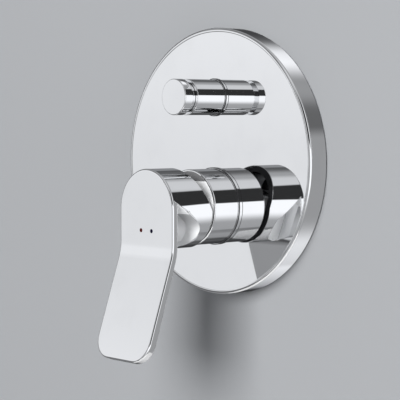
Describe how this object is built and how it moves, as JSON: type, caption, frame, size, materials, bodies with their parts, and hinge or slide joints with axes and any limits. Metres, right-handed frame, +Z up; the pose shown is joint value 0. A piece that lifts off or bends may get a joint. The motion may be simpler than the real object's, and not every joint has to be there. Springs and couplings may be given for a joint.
{
  "type": "concealed shower mixer",
  "caption": "Round chrome wall plate with a single-lever mixing valve below, a pull diverter knob above, and a brass in-wall valve body behind.",
  "frame": {"origin": "centre of the wall plate on the finished wall face", "axes": "+Z up the wall, +Y into the wall, -Y out into the room, +X to the right as seen from the room"},
  "size_m": [0.165, 0.1305, 0.1996],
  "materials": {
    "chrome": "polished chrome plate",
    "brass": "cast and turned, bare",
    "cartridge_plastic": "moulded, light grey",
    "ceramic": "lapped alumina",
    "rubber": "moulded, black",
    "foam": "closed-cell foam, grey",
    "steel": "stainless steel",
    "hot_enamel": "enamel, dark red",
    "cold_enamel": "enamel, dark blue"
  },
  "bodies": {
    "valve": {"escutcheon_plate": "chrome", "wall_gasket": "foam", "plate_seal_large": "rubber", "plate_seal_small": "rubber", "body_ring": "chrome", "diverter_ring": "chrome", "body_sleeve": "chrome", "sleeve_o_ring": "rubber", "valve_body": "brass", "fixing_bracket": "steel", "hot_union": "brass", "cold_union": "brass", "shower_union": "brass", "bath_union": "brass", "cartridge_nut": "brass", "cartridge_housing": "cartridge_plastic", "cartridge_base": "cartridge_plastic", "base_seals": "rubber", "fixed_disc": "ceramic", "diverter_bonnet": "brass", "stem_o_ring": "rubber", "diverter_seat": "brass", "diverter_sleeve": "chrome"},
    "rotor": {"cartridge_rotor": "cartridge_plastic", "stem_pin": "steel"},
    "lever": {"handle": "chrome", "cartridge_stem": "brass", "handle_set_screw": "steel", "hot_mark": "hot_enamel", "cold_mark": "cold_enamel"},
    "disc": {"moving_disc": "ceramic", "disc_carrier": "cartridge_plastic"},
    "pull_knob": {"diverter_knob": "chrome", "diverter_stem": "brass", "diverter_washer": "rubber", "washer_nut": "brass"}
  },
  "joints": [
    {"name": "handle_turn", "type": "hinge", "parent": "valve", "child": "rotor", "pos_m": [0, -0.027, -0.0277], "axis": [0, -1, 0], "range_deg": [-50, 50]},
    {"name": "handle_lift", "type": "hinge", "parent": "rotor", "child": "lever", "pos_m": [0, -0.027, -0.0277], "axis": [-1, 0, 0], "range_deg": [0, 22]},
    {"name": "disc_slide", "type": "slide", "parent": "rotor", "child": "disc", "axis": [0, 0, -1], "range_m": [0, 0.0048]},
    {"name": "diverter_pull", "type": "slide", "parent": "valve", "child": "pull_knob", "axis": [0, -1, 0], "range_m": [0, 0.008]}
  ],
  "couplings": [
    {"joint": "disc_slide", "follows": "handle_lift", "m_per_rad": 0.01245}
  ]
}
